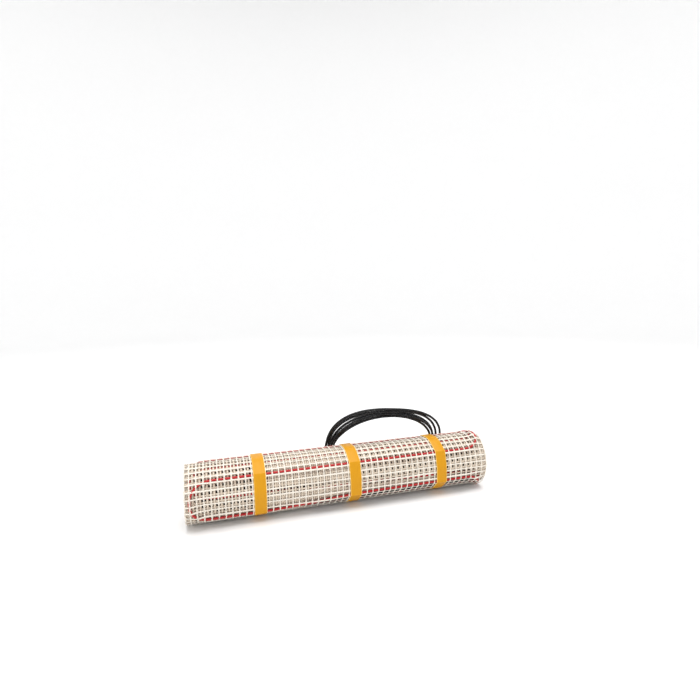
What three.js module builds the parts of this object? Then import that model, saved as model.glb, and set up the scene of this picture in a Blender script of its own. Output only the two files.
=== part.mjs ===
// Underfloor heating mat, rolled up: an open glass-fibre web that carries a heating cable to and fro
// across its width. Three flat straps hold the roll. A splice sleeve on the back of the roll joins the
// heating cable to its supply lead, which lies in a flat oval coil that stands on the floor behind the
// roll and leans against two of the straps.
// Millimetres. X runs along the roll, -Y is its front, +Z is up, and the floor is at z = 0.

import * as THREE from 'three';

// Roll
const webWidth = 500;
const rollRadius = 45;
const boreRadius = 12;
const turnGrooves = 7;
const turnGrooveWidth = 1.4;
const turnGrooveDepth = 2.5;
const rollSegments = 40;

// Stretch of the roll's right end that a turn of the cable presses in from below
const pressStart = 214;
const pressRamp = 8;

// Gap between pieces that touch, and under pieces that lie on the floor
const seatGap = 0.3;
const floorClearance = 0.2;

// Heating cable: the angles of its outer runs, in degrees from the back of the roll upwards
const cableDiameter = 3.8;
const runAngle = { back: 378, under: 298, low: 218, front: 140, top: 60 };
const turnMargin = 8;
const turnRadius = 30;
const turnSteps = 6;
const lastTurnShare = 0.78;
const cableSides = 8;

// Straps
const strapWidth = 18.7;
const strapThickness = 1;
const strapCentres = { left: -140.5, middle: 9.8, right: 161.9 };
const wrapArcStep = 8;
const runArcSteps = 4;

// Splice sleeve
const sleeveStart = -112;
const sleeveLength = 52;
const sleeveRadius = 4.5;
const sleeveMouthRadius = 2.6;
const sleeveTaper = 9;
const sleeveSegments = 14;
const cableRise = 16;

// Supply lead and its coil
const leadDiameter = 4.5;
const leadSides = 8;
const strandPitch = 4.6;
const strandsDeep = 2;
const coilOutline = { halfLength: 111.8, halfHeight: 76.3, squareness: 2.55, turn: -7.1, x: 0, y: 0 };
const coilOpening = { halfLength: 90.6, halfHeight: 58.5, squareness: 2, turn: -2.5, x: -2.1, y: -0.8 };
const coilCentreX = 88.2;
const coilLeanDegrees = 71;
const coilSteps = 44;

// Bare ends of the lead's conductors
const coreDiameter = 1.6;
const coreLength = 24;
const coreSpread = 1.3;
const coreSegments = 8;

const radians = THREE.MathUtils.degToRad;
const halfWidth = webWidth / 2;
const runCentreRadius = rollRadius + seatGap + cableDiameter / 2;
const sleeveCentreRadius = rollRadius + seatGap + sleeveRadius;

function material(color, roughness, metalness = 0) {
  return new THREE.MeshStandardMaterial({ color, roughness, metalness });
}

const webFinish = material(0xe6e0d2, 0.85);
const cableFinish = material(0xa01420, 0.45);
const strapFinish = material(0xf2aa1c, 0.4);
const sleeveFinish = material(0x202022, 0.5);
const leadFinish = material(0x141416, 0.35);
const brownFinish = material(0x5a3018, 0.4);
const blueFinish = material(0x1c4f9c, 0.4);
const copperFinish = material(0xb8703c, 0.35, 0.9);

function named(name, geometry, finish) {
  const mesh = new THREE.Mesh(geometry, finish);
  mesh.name = name;
  return mesh;
}

// Half of the arc over which a taut wrap follows a cable run before it leaves for the roll
const wrapHalfArc = THREE.MathUtils.radToDeg(
  Math.acos((rollRadius - cableDiameter / 2) / runCentreRadius),
);

function polar(radius, degrees) {
  return new THREE.Vector2(radius * Math.cos(radians(degrees)), radius * Math.sin(radians(degrees)));
}

// Outline of a taut wrap around the roll and its cable runs, at a distance outside both
function wrapOutline(angles, offset) {
  const runs = [...angles].sort((a, b) => a - b);
  const points = [];
  runs.forEach((angle, index) => {
    const previous = index > 0 ? runs[index - 1] : runs[runs.length - 1] - 360;
    const next = index < runs.length - 1 ? runs[index + 1] : runs[0] + 360;
    const start = angle - Math.min(wrapHalfArc, (angle - previous) / 2);
    const end = angle + Math.min(wrapHalfArc, (next - angle) / 2);
    const centre = polar(runCentreRadius, angle);
    for (let step = 0; step <= runArcSteps; step += 1) {
      const normal = start + ((end - start) * step) / runArcSteps;
      points.push(centre.clone().add(polar(cableDiameter / 2 + offset, normal)));
    }
    const span = next - wrapHalfArc - end;
    if (span > wrapArcStep) {
      const steps = Math.round(span / wrapArcStep);
      for (let step = 0; step <= steps; step += 1) {
        points.push(polar(rollRadius + offset, end + (span * step) / steps));
      }
    }
  });
  return points;
}

// The middle and right straps cross four runs. The left strap also crosses the run that ends at the splice.
const commonRuns = [runAngle.under, runAngle.low, runAngle.front, runAngle.top];
const strapRuns = { left: [...commonRuns, runAngle.back - 360], middle: commonRuns, right: commonRuns };
const strapOutside = seatGap + strapThickness;

// The roll's axis stands where the straps' outer faces reach the floor, centred front to back
const wrapBox = new THREE.Box2().setFromPoints(wrapOutline(strapRuns.left, strapOutside));
const axisY = -(wrapBox.min.x + wrapBox.max.x) / 2;
const axisZ = -wrapBox.min.y;

// How far below the axis the cable's centre can lie, and the web above it, to stay off the floor
const pressedCableDepth = axisZ - floorClearance - cableDiameter / 2;
const pressedWebDepth = pressedCableDepth - cableDiameter / 2 - seatGap;

// Point at a distance along the roll, an angle around it and a radius from its axis
function onRoll(x, degrees, radius) {
  const place = polar(radius, degrees);
  return new THREE.Vector3(x, axisY + place.x, axisZ + place.y);
}

// Group whose local X, Y and Z point along the world's Y, Z and X
function crossSectionGroup() {
  const group = new THREE.Group();
  group.quaternion.setFromAxisAngle(new THREE.Vector3(1, 1, 1).normalize(), radians(120));
  group.position.set(0, axisY, axisZ);
  return group;
}

// Route through stations: a sweep with one step for each stretch puts a section at every station
class StationRoute extends THREE.Curve {
  constructor(stations) {
    super();
    this.stations = stations;
  }

  getPoint(t, target = new THREE.Vector3()) {
    const stretches = this.stations.length - 1;
    const place = THREE.MathUtils.clamp(t, 0, 1) * stretches;
    const index = Math.min(Math.floor(place), stretches - 1);
    return target.lerpVectors(this.stations[index], this.stations[index + 1], place - index);
  }

  getPointAt(u, target) {
    return this.getPoint(u, target);
  }

  getTangentAt(u, target) {
    return this.getTangent(u, target);
  }
}

function tube(stations, diameter, sides) {
  const section = new THREE.Shape();
  section.absarc(0, 0, diameter / 2, 0, 2 * Math.PI);
  return new THREE.ExtrudeGeometry(section, {
    curveSegments: sides,
    steps: stations.length - 1,
    bevelEnabled: false,
    extrudePath: new StationRoute(stations),
  });
}

// Wound web: one turned solid with its bore, its turns cut as rings into both ends. Its right end is
// flat underneath, where it lies on a turn of the cable.
function rollEnd(side) {
  const pitch = (rollRadius - boreRadius) / (turnGrooves + 1);
  const points = [new THREE.Vector2(rollRadius, side * halfWidth)];
  for (let turn = 1; turn <= turnGrooves; turn += 1) {
    const radius = rollRadius - turn * pitch;
    points.push(new THREE.Vector2(radius + turnGrooveWidth / 2, side * halfWidth));
    points.push(new THREE.Vector2(radius, side * (halfWidth - turnGrooveDepth)));
    points.push(new THREE.Vector2(radius - turnGrooveWidth / 2, side * halfWidth));
  }
  points.push(new THREE.Vector2(boreRadius, side * halfWidth));
  return points;
}

function makeRoll() {
  const profile = [...rollEnd(1), ...rollEnd(-1).reverse()];
  profile.push(new THREE.Vector2(rollRadius, pressStart));
  profile.push(new THREE.Vector2(rollRadius, pressStart + pressRamp));
  profile.push(profile[0].clone());
  const geometry = new THREE.LatheGeometry(profile, rollSegments);
  const { position } = geometry.attributes;
  for (let index = 0; index < position.count; index += 1) {
    if (position.getY(index) >= pressStart + pressRamp) {
      position.setZ(index, Math.max(position.getZ(index), -pressedWebDepth));
    }
  }
  const roll = named('mesh_roll', geometry, webFinish);
  roll.rotation.z = -Math.PI / 2;
  roll.position.set(0, axisY, axisZ);
  return roll;
}

// Stations of a turn from one run to the next, at the end of the roll that side names
function turnStations(side, fromAngle, toAngle) {
  const sense = Math.sign(toAngle - fromAngle);
  const limit = side * (halfWidth - turnMargin);
  const stations = [];
  for (let step = 0; step <= turnSteps; step += 1) {
    const sweep = (Math.PI / 2) * (step / turnSteps);
    const x = limit - side * turnRadius * (1 - Math.sin(sweep));
    const climb = THREE.MathUtils.radToDeg((turnRadius * (1 - Math.cos(sweep))) / runCentreRadius);
    stations.push({ x, angle: fromAngle + sense * climb });
  }
  const back = stations.map(({ x, angle }) => ({ x, angle: fromAngle + toAngle - angle })).reverse();
  return [...stations, ...back];
}

// Place on the cable's centre line: against the roll, or level with the floor where the roll is pressed
function onCableRun(x, degrees) {
  const down = -Math.sin(radians(degrees));
  const radius = down > 0 ? Math.min(runCentreRadius, pressedCableDepth / down) : runCentreRadius;
  return onRoll(x, degrees, radius);
}

// Heating cable on the outer turn: five runs, from the splice to where it dips under the web's edge
function makeHeatingCable() {
  const left = -1;
  const right = 1;
  const places = [
    ...turnStations(left, runAngle.back, runAngle.under),
    ...turnStations(right, runAngle.under, runAngle.low),
    ...turnStations(left, runAngle.low, runAngle.front),
    ...turnStations(right, runAngle.front, runAngle.top),
    ...turnStations(left, runAngle.top, runAngle.top - 80).slice(0, Math.ceil(turnSteps * lastTurnShare)),
  ];
  const stations = [
    onRoll(sleeveStart - seatGap, runAngle.back, sleeveCentreRadius),
    onRoll(sleeveStart - cableRise / 2, runAngle.back, (sleeveCentreRadius + runCentreRadius) / 2),
    onRoll(sleeveStart - cableRise, runAngle.back, runCentreRadius),
    ...places.map(({ x, angle }) => onCableRun(x, angle)),
  ];
  return named('heating_cable', tube(stations, cableDiameter, cableSides), cableFinish);
}

// Flat strap pulled tight over the roll and the runs that it crosses
function makeStrap(key) {
  const band = new THREE.Shape(wrapOutline(strapRuns[key], strapOutside));
  band.holes.push(new THREE.Path(wrapOutline(strapRuns[key], seatGap)));
  const geometry = new THREE.ExtrudeGeometry(band, { depth: strapWidth, bevelEnabled: false });
  geometry.translate(0, 0, strapCentres[key] - strapWidth / 2);
  return named(`strap_${key}`, geometry, strapFinish);
}

// Shrink sleeve over the splice, in line with the run that ends there
function makeSleeve() {
  const profile = [
    new THREE.Vector2(0, 0),
    new THREE.Vector2(sleeveMouthRadius, 0),
    new THREE.Vector2(sleeveRadius, sleeveTaper),
    new THREE.Vector2(sleeveRadius, sleeveLength - sleeveTaper),
    new THREE.Vector2(sleeveMouthRadius, sleeveLength),
    new THREE.Vector2(0, sleeveLength),
  ];
  const sleeve = named('splice_sleeve', new THREE.LatheGeometry(profile, sleeveSegments), sleeveFinish);
  sleeve.rotation.z = -Math.PI / 2;
  sleeve.position.copy(onRoll(sleeveStart, runAngle.back, sleeveCentreRadius));
  return sleeve;
}

// Squared oval, turned in the coil's own plane
function coilOval({ halfLength, halfHeight, squareness, turn, x, y }) {
  const points = [];
  const power = 2 / squareness;
  for (let step = 0; step < coilSteps; step += 1) {
    const angle = (2 * Math.PI * step) / coilSteps;
    const across = Math.cos(angle);
    const up = Math.sin(angle);
    const point = new THREE.Vector2(
      halfLength * Math.sign(across) * Math.abs(across) ** power,
      halfHeight * Math.sign(up) * Math.abs(up) ** power,
    );
    points.push(point.rotateAround(new THREE.Vector2(), radians(turn)).add(new THREE.Vector2(x, y)));
  }
  return points;
}

const coilHalfDepth = (strandPitch * strandsDeep) / 2;
const coilLean = radians(coilLeanDegrees);
const coilOutside = coilOval(coilOutline);
const coilFoot = -Math.min(...coilOutside.map((point) => point.y));
const coilCentreZ = floorClearance + coilFoot * Math.sin(coilLean) + coilHalfDepth * Math.cos(coilLean);
const coilDistance = rollRadius + strapOutside + coilHalfDepth;
const coilCentreY = axisY + (coilDistance - (coilCentreZ - axisZ) * Math.cos(coilLean)) / Math.sin(coilLean);

// Outer shape of the coiled lead: a flat oval ring, two strands deep, wider at its shoulders
function makeCoil() {
  const ring = new THREE.Shape(coilOutside);
  ring.holes.push(new THREE.Path(coilOval(coilOpening)));
  const geometry = new THREE.ExtrudeGeometry(ring, { depth: 2 * coilHalfDepth, bevelEnabled: false });
  geometry.translate(0, 0, -coilHalfDepth);
  const coil = named('supply_lead_coil', geometry, leadFinish);
  coil.rotation.x = Math.PI - coilLean;
  coil.position.set(coilCentreX, coilCentreY, coilCentreZ);
  return coil;
}

// Supply lead from the splice down to the floor and along it to the coil
const leadRoute = [
  [-59.7, 46.5, 61.6],
  [-52, 46.6, 61.5],
  [-44, 47.3, 59.6],
  [-37.5, 48.8, 54.5],
  [-33.5, 50.6, 47.5],
  [-31.5, 52.8, 39],
  [-30, 55.2, 30],
  [-27.5, 57.6, 21],
  [-22.5, 59.9, 12.8],
  [-15, 61.8, 6.6],
  [-5, 63.3, 3.2],
  [6, 64.3, 2.4],
  [18, 64.8, 2.35],
  [30, 65, 2.35],
  [43, 65, 2.35],
  [56, 65, 2.35],
  [69, 65, 2.35],
];

// Free end of the lead, along the floor from the foot of the coil
const tailRoute = [
  [142.5, 69.9, 2.35],
  [154, 70.1, 2.35],
  [166, 70.1, 2.35],
  [178, 69.8, 2.35],
  [190, 69.2, 2.35],
  [202, 68.3, 2.35],
];

function makeLead(name, route) {
  const stations = route.map((point) => new THREE.Vector3(...point));
  return named(name, tube(stations, leadDiameter, leadSides), leadFinish);
}

// The lead's conductors, side by side where its jacket ends, in line with its last stretch
function makeCores() {
  const end = new THREE.Vector3(...tailRoute[tailRoute.length - 1]);
  const before = new THREE.Vector3(...tailRoute[tailRoute.length - 2]);
  const along = end.clone().sub(before).normalize();
  const cores = { brown_core: [brownFinish, 1], earth_core: [copperFinish, 0], blue_core: [blueFinish, -1] };
  return Object.entries(cores).map(([name, [finish, side]]) => {
    const radius = coreDiameter / 2;
    const geometry = new THREE.CylinderGeometry(radius, radius, coreLength, coreSegments);
    const core = named(name, geometry, finish);
    core.quaternion.setFromUnitVectors(new THREE.Vector3(0, 1, 0), along);
    core.position.copy(end).addScaledVector(along, seatGap + coreLength / 2);
    core.position.y += side * coreSpread;
    core.position.z -= side === 0 ? -coreSpread : coreSpread / 2;
    return core;
  });
}

const group = new THREE.Group();
group.name = 'underfloor_heating_mat';
group.add(makeRoll(), makeHeatingCable(), makeSleeve(), makeCoil());
group.add(makeLead('supply_lead', leadRoute), makeLead('supply_lead_tail', tailRoute), ...makeCores());

const straps = crossSectionGroup();
straps.add(...Object.keys(strapCentres).map(makeStrap));
group.add(straps);

export default group;
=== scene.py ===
import math

import bmesh
import bpy
import numpy as np
from bpy.props import FloatProperty, FloatVectorProperty, IntProperty, PointerProperty
from mathutils import Matrix, Vector


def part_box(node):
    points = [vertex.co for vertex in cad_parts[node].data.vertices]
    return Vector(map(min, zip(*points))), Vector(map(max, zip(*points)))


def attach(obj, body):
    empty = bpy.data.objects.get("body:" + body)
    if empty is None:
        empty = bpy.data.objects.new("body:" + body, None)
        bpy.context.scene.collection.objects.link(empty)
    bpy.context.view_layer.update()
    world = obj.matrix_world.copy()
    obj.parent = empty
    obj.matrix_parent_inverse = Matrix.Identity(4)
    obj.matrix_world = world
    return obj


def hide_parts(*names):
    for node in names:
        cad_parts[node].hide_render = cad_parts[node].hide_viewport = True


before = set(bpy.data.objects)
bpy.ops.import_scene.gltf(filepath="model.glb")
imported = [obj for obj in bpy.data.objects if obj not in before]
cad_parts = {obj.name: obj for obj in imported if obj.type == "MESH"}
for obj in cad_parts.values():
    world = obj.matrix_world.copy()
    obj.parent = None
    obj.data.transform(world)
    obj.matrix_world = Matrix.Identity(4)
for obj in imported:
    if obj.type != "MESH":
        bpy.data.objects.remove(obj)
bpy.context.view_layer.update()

bl_info = {
    "name": "Underfloor Heating Mat",
    "version": (1, 0, 0),
    "blender": (4, 5, 0),
    "location": "View3D > Sidebar > Heating Mat",
    "description": "A rolled heating mat with its straps, splice and coiled supply lead",
    "category": "Object",
}

MM = 0.001
TURN = 2 * math.pi

# The roll's own sizes come from its solid
ROLL_LOW, ROLL_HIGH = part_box("mesh_roll")
HALF_WIDTH = (ROLL_HIGH.x - ROLL_LOW.x) / 2
ROLL_RADIUS = (ROLL_HIGH.z - ROLL_LOW.z) / 2
AXIS_Y = (ROLL_HIGH.y + ROLL_LOW.y) / 2
AXIS_Z = (ROLL_HIGH.z + ROLL_LOW.z) / 2
SEAT_GAP = 0.3 * MM

# Angles are in degrees around the roll, from its back upwards
RUNS = {"back": 378, "under": 298, "low": 218, "front": 140, "top": 60}
FREE_EDGE = 394
TURN_MARGIN = 8 * MM
TURN_RADIUS = 30 * MM
TURN_STEPS = 10


def length_setting(name, description, default):
    return FloatProperty(name=name, description=description, default=default, unit="LENGTH")


def power_setting(name, description, default):
    return FloatProperty(name=name, description=description, default=default, unit="POWER")


def colour_setting(name, description, default):
    return FloatVectorProperty(
        name=name,
        description=description,
        default=default,
        subtype="COLOR",
        min=0,
        max=1,
    )


class CameraSizes(bpy.types.PropertyGroup):
    place: FloatVectorProperty(
        name="Place",
        description="Where the camera stands",
        default=(-0.19474, -0.78286, 0.35716),
        subtype="TRANSLATION",
        unit="LENGTH",
    )
    heading: FloatProperty(
        name="Heading",
        description="How far the camera turns from the roll's back towards its right end",
        default=0.324,
        unit="ROTATION",
    )
    pitch: FloatProperty(
        name="Pitch",
        description="How far the camera looks down",
        default=0.125,
        unit="ROTATION",
    )
    roll: FloatProperty(
        name="Roll",
        description="How far the camera leans about its own line of sight",
        default=-0.010,
        unit="ROTATION",
    )
    lens: FloatProperty(
        name="Lens",
        description="Focal length in millimetres on a 36 mm sensor",
        default=25.387,
    )


class WebSizes(bpy.types.PropertyGroup):
    pitch: length_setting("Pitch", "Spacing of the web's threads, both ways", 10 * MM)
    strand_width: length_setting(
        "Strand width",
        "Width of each strand of the pairs that run around the roll",
        1.45 * MM,
    )
    strand_spread: length_setting(
        "Strand spread",
        "How far a pair's strands stand from its middle where they part",
        0.6 * MM,
    )
    weft_width: length_setting(
        "Cross thread width",
        "Width of the threads that run along the roll",
        2.5 * MM,
    )
    thickness: length_setting("Thickness", "Thickness of one strand or cross thread", 0.45 * MM)
    colour: colour_setting("Colour", "Colour of the coated glass fibre", (0.87, 0.80, 0.70))


class CableSizes(bpy.types.PropertyGroup):
    diameter: length_setting("Diameter", "Diameter of the heating cable", 3.8 * MM)
    colour: colour_setting("Colour", "Colour of the heating cable's sheath", (0.42, 0.003, 0.004))


class StrapSizes(bpy.types.PropertyGroup):
    width: length_setting("Width", "Width of each strap", 18.7 * MM)
    thickness: length_setting("Thickness", "Thickness of each strap", 1 * MM)
    colour: colour_setting("Colour", "Colour of the straps", (0.61, 0.275, 0.001))


class LeadSizes(bpy.types.PropertyGroup):
    diameter: length_setting("Diameter", "Diameter of the supply lead", 4.5 * MM)
    length: length_setting("Length", "Real length of the supply lead", 3.0)
    core_length: length_setting(
        "Core length",
        "How far the conductors stand out of the lead's jacket",
        24 * MM,
    )
    core_diameter: length_setting("Core diameter", "Diameter of each conductor", 1.6 * MM)
    steps_per_turn: IntProperty(
        name="Steps per turn",
        description="Points of the lead's route on each turn of its coil",
        default=24,
    )


class StudioSizes(bpy.types.PropertyGroup):
    floor_size: length_setting("Floor size", "Width of the pale floor and of the wall behind it", 8)
    colour: colour_setting("Colour", "Colour of the floor and the wall", (0.93, 0.93, 0.93))
    key_watts: power_setting("Key light", "Power of the soft light over the object", 10)
    fill_watts: power_setting("Fill light", "Power of the soft light at the front left", 3.6)
    ceiling_watts: power_setting(
        "Ceiling light",
        "Power of the wide soft light high over the floor",
        122,
    )
    sky: FloatProperty(
        name="Room light",
        description="Strength of the even light from all round",
        default=0.41,
    )


def unit_round(degrees):
    """Point at that angle on a circle of radius 1 around the roll's axis."""
    return Vector((math.cos(math.radians(degrees)), math.sin(math.radians(degrees))))


def on_roll(x, degrees, radius):
    """Point at a distance along the roll, an angle around it and a radius from its axis."""
    place = unit_round(degrees) * radius
    return Vector((x, AXIS_Y + place.x, AXIS_Z + place.y))


def smooth(share):
    """Ease in and out between 0 and 1, for one number or for an array."""
    share = np.clip(share, 0, 1)
    return share * share * (3 - 2 * share)


class Value:
    """A socket with a number that changes over the surface. Sums on it add Math nodes."""

    def __init__(self, finish, socket):
        self.finish = finish
        self.socket = socket

    def combine(self, operation, first, second):
        return self.finish.node("ShaderNodeMath", {"operation": operation}, {0: first, 1: second})

    def __add__(self, other):
        return self.combine("ADD", self, other)

    def __radd__(self, other):
        return self.combine("ADD", other, self)

    def __sub__(self, other):
        return self.combine("SUBTRACT", self, other)

    def __rsub__(self, other):
        return self.combine("SUBTRACT", other, self)

    def __mul__(self, other):
        return self.combine("MULTIPLY", self, other)

    def __rmul__(self, other):
        return self.combine("MULTIPLY", other, self)


class Finish:
    """A material under construction: a surface shader and the nodes that feed it."""

    def __init__(self, name):
        self.material = bpy.data.materials.new(name)
        self.material.use_nodes = True
        self.tree = self.material.node_tree
        self.shader = self.tree.nodes["Principled BSDF"]

    def node(self, kind, settings, sockets, output=0):
        made = self.tree.nodes.new(kind)
        for key, setting in settings.items():
            setattr(made, key, setting)
        for key, value in sockets.items():
            if isinstance(value, Value):
                self.tree.links.new(value.socket, made.inputs[key])
            else:
                made.inputs[key].default_value = value
        return Value(self, made.outputs[output])

    def feed(self, **sockets):
        """Set the surface shader's sockets, with a number, a colour or a link."""
        for key, value in sockets.items():
            socket = self.shader.inputs[key.replace("_", " ").title()]
            if isinstance(value, Value):
                self.tree.links.new(value.socket, socket)
            else:
                socket.default_value = value
        return self.material

    def object_place(self):
        return self.node("ShaderNodeTexCoord", {}, {}, "Object")

    def lay(self):
        return self.node("ShaderNodeUVMap", {"uv_map": "lay"}, {})

    def stretched(self, place, scale):
        return self.node("ShaderNodeMapping", {}, {"Vector": place, "Scale": scale})

    def noise(self, place, scale, detail=3.0, roughness=0.5):
        sockets = {"Vector": place, "Scale": scale, "Detail": detail, "Roughness": roughness}
        return self.node("ShaderNodeTexNoise", {}, sockets, "Fac")

    def blend(self, share, first, second):
        """Colour between two others."""
        sockets = {0: share, 6: first, 7: second}
        return self.node("ShaderNodeMix", {"data_type": "RGBA"}, sockets, 2)

    def spread(self, value, low, high):
        """Stretch a value between two limits to the range from 0 to 1."""
        sockets = {"Value": value, "From Min": low, "From Max": high}
        return self.node("ShaderNodeMapRange", {"interpolation_type": "SMOOTHSTEP"}, sockets)

    def relief(self, height, distance, strength=1.0):
        sockets = {"Height": height, "Distance": distance, "Strength": strength}
        return self.node("ShaderNodeBump", {}, sockets)


def shade(colour, factor):
    """Colour with its light multiplied, as four numbers."""
    return (*[min(1.0, channel * factor) for channel in colour[:3]], 1.0)


def web_finish(name, colour):
    """Coated glass fibre: fine fibres along each thread, in a slightly uneven coating."""
    finish = Finish(name)
    lay = finish.lay()
    fibres = finish.noise(finish.stretched(lay, (60, 2600, 1)), 1.0, 3.0, 0.6)
    coating = finish.noise(finish.object_place(), 90.0, 3.0)
    patches = finish.spread(coating, 0.35, 0.7)
    colours = finish.blend(patches, shade(colour, 0.93), shade(colour, 1.04))
    fibre_shade = finish.spread(fibres, 0.2, 0.62)
    colours = finish.blend(fibre_shade, shade(colour, 0.74), colours)
    height = fibres * 0.8 + coating * 0.4
    return finish.feed(
        base_color=colours,
        roughness=0.55 + 0.2 * coating,
        normal=finish.relief(height, 0.25 * MM, 0.7),
    )


def core_painted_shade_finish(name, colour):
    """Tightly wound web seen through the outer turns, all in painted shade: the web's colour darkened to
    near black, with streaks a little less dark for the threads over the gaps.
    """
    finish = Finish(name)
    place = finish.object_place()
    layers = finish.noise(finish.stretched(place, (9, 60, 60)), 6.0, 4.0, 0.6)
    share = finish.spread(layers, 0.35, 0.75)
    # Painted shade: the web's colour cut to between 0.4 and 5 per cent of its light, for the deep shade
    # inside the roll
    colours = finish.blend(share, shade(colour, 0.004), shade(colour, 0.05))
    return finish.feed(base_color=colours, roughness=0.9)


def sheath_finish(name, colour, roughness, coat=0.0):
    """Smooth plastic with faint waves in its gloss."""
    finish = Finish(name)
    place = finish.object_place()
    waves = finish.noise(place, 140.0, 2.0)
    scuffs = finish.noise(place, 1400.0, 2.0)
    tone = finish.blend(waves, shade(colour, 0.9), shade(colour, 1.08))
    return finish.feed(
        base_color=tone,
        roughness=roughness + 0.1 * waves,
        coat_weight=coat,
        normal=finish.relief(waves * 0.7 + scuffs * 0.1, 0.12 * MM, 0.5),
    )


def strap_finish(name, colour, width):
    """Flat plastic strap with a fine lengthwise grain, and edges paler with a painted highlight."""
    finish = Finish(name)
    lay = finish.lay()
    grain = finish.noise(finish.stretched(lay, (1500, 40, 1)), 1.0, 2.0)
    place = finish.object_place()
    waves = finish.noise(place, 60.0, 2.0)
    tone = finish.blend(grain, shade(colour, 0.9), shade(colour, 1.05))
    from_middle = finish.node(
        "ShaderNodeMath",
        {"operation": "ABSOLUTE"},
        {0: finish.node("ShaderNodeSeparateXYZ", {}, {0: lay}, "X")},
    )
    # Painted highlight: a narrow band along each edge is blended towards pale yellow
    rim = finish.spread(from_middle, width / 2 - 0.9 * MM, width / 2 - 0.2 * MM)
    tone = finish.blend(rim, tone, (0.93, 0.66, 0.22, 1))
    return finish.feed(
        base_color=tone,
        roughness=0.4 + 0.12 * waves,
        normal=finish.relief(grain * 0.5 + waves, 0.15 * MM, 0.5),
    )


def metal_finish(name, colour):
    """Drawn copper wire."""
    finish = Finish(name)
    grain = finish.noise(finish.object_place(), 2500.0, 2.0)
    tone = finish.blend(grain, shade(colour, 0.85), shade(colour, 1.1))
    return finish.feed(base_color=tone, metallic=1.0, roughness=0.3 + 0.15 * grain)


def weaken_gloss(material, level):
    material.node_tree.nodes["Principled BSDF"].inputs["Specular IOR Level"].default_value = level


def placed(name, data):
    """Add an object at the origin."""
    made = bpy.data.objects.new(name, data)
    bpy.context.scene.collection.objects.link(made)
    return made


def applied(holder):
    """Mesh of what an object shows, with its modifiers. The object is removed."""
    graph = bpy.context.evaluated_depsgraph_get()
    made = bpy.data.meshes.new_from_object(holder.evaluated_get(graph))
    bpy.data.objects.remove(holder)
    return made


def show(name, mesh, material, *nodes):
    """Add the finished mesh as a piece at the origin, in place of those nodes."""
    piece = placed(name, mesh)
    piece.data.materials.clear()
    piece.data.materials.append(material)
    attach(piece, "root")
    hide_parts(*nodes)
    return piece


def finished_mesh(shape, name, smooth_faces=True):
    """Turn a bmesh into a mesh with its faces pointing outwards."""
    bmesh.ops.recalc_face_normals(shape, faces=shape.faces)
    mesh = bpy.data.meshes.new(name)
    shape.to_mesh(mesh)
    shape.free()
    if smooth_faces:
        mesh.shade_smooth()
    return mesh


def turned(profile, closed, centre, axis, steps):
    """Shape that a profile sweeps on one turn around an axis."""
    shape = bmesh.new()
    corners = [shape.verts.new(corner) for corner in profile]
    for first, second in zip(corners, corners[1:]):
        shape.edges.new((first, second))
    if closed:
        shape.edges.new((corners[-1], corners[0]))
    bmesh.ops.spin(
        shape,
        geom=shape.verts[:] + shape.edges[:],
        cent=centre,
        axis=axis,
        dvec=(0, 0, 0),
        angle=TURN,
        steps=steps,
        use_merge=True,
    )
    return shape


def round_off(shape, edges, offset):
    bmesh.ops.bevel(
        shape,
        geom=edges,
        offset=offset,
        offset_type="OFFSET",
        affect="EDGES",
        segments=2,
        profile=0.5,
        material=-1,
    )


def straight_thread(length, steps, width, thickness, sides, around, height=0.0):
    """Flat thread with closed ends. It runs along X, or around the roll once the web is rolled up."""
    shape = bmesh.new()
    bmesh.ops.create_circle(shape, segments=sides, radius=0.5)
    bmesh.ops.scale(shape, vec=(width, thickness, 1), verts=shape.verts)
    if around:
        stand = Matrix(((1, 0, 0), (0, 0, 1), (0, 1, 0)))
        step = Vector((0, length / steps, 0))
    else:
        stand = Matrix(((0, 0, 1), (1, 0, 0), (0, 1, 0)))
        step = Vector((length / steps, 0, 0))
    bmesh.ops.transform(shape, matrix=stand.to_4x4(), verts=shape.verts)
    bmesh.ops.translate(shape, vec=(0, 0, height), verts=shape.verts)
    geometry = shape.verts[:] + shape.edges[:]
    bmesh.ops.spin(shape, geom=geometry, cent=(0, 0, 0), axis=(0, 0, 1), dvec=step, angle=0, steps=steps)
    bmesh.ops.holes_fill(shape, edges=shape.edges[:], sides=sides)
    return shape


def repeated(mesh, count, step):
    """Copies of a mesh in a row, as one mesh."""
    holder = placed("row", mesh)
    row = holder.modifiers.new("Row", "ARRAY")
    row.count = count
    row.use_relative_offset = False
    row.use_constant_offset = True
    row.constant_offset_displace = step
    return applied(holder)


def places_of(mesh):
    places = np.empty(len(mesh.vertices) * 3)
    mesh.vertices.foreach_get("co", places)
    return places.reshape(-1, 3)


def joined(meshes, name):
    """One mesh out of several, which are used up."""
    shape = bmesh.new()
    for mesh in meshes:
        shape.from_mesh(mesh)
        bpy.data.meshes.remove(mesh)
    made = bpy.data.meshes.new(name)
    shape.to_mesh(made)
    shape.free()
    return made


def laid_out(mesh, corner, around):
    """A part of the flat web: its points, and how far each lies along and across its thread."""
    flat = places_of(mesh) + np.array(corner)
    first, second = (1, 0) if around else (0, 1)
    return flat, flat[:, first].copy(), flat[:, second].copy()


def lay_map(mesh, along, across):
    """Keep each point's place along and across its thread, for the material."""
    layer = mesh.uv_layers.new(name="lay")
    corners = np.empty(len(mesh.loops), dtype=int)
    mesh.loops.foreach_get("vertex_index", corners)
    layer.data.foreach_set("uv", np.stack([along[corners], across[corners]], axis=1).ravel())


def turn_places(side, start, end):
    """Places of a U-turn from one run to the next at that end of the roll."""
    sense = math.copysign(1, end - start)
    places = []
    for step in range(TURN_STEPS + 1):
        sweep = math.pi / 2 * step / TURN_STEPS
        x = side * (HALF_WIDTH - TURN_MARGIN - TURN_RADIUS * (1 - math.sin(sweep)))
        climb = math.degrees(TURN_RADIUS * (1 - math.cos(sweep)) / RUN_CENTRE)
        places.append((x, start + sense * climb))
    back = [(x, start + end - angle) for x, angle in reversed(places)]
    return places + back


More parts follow.
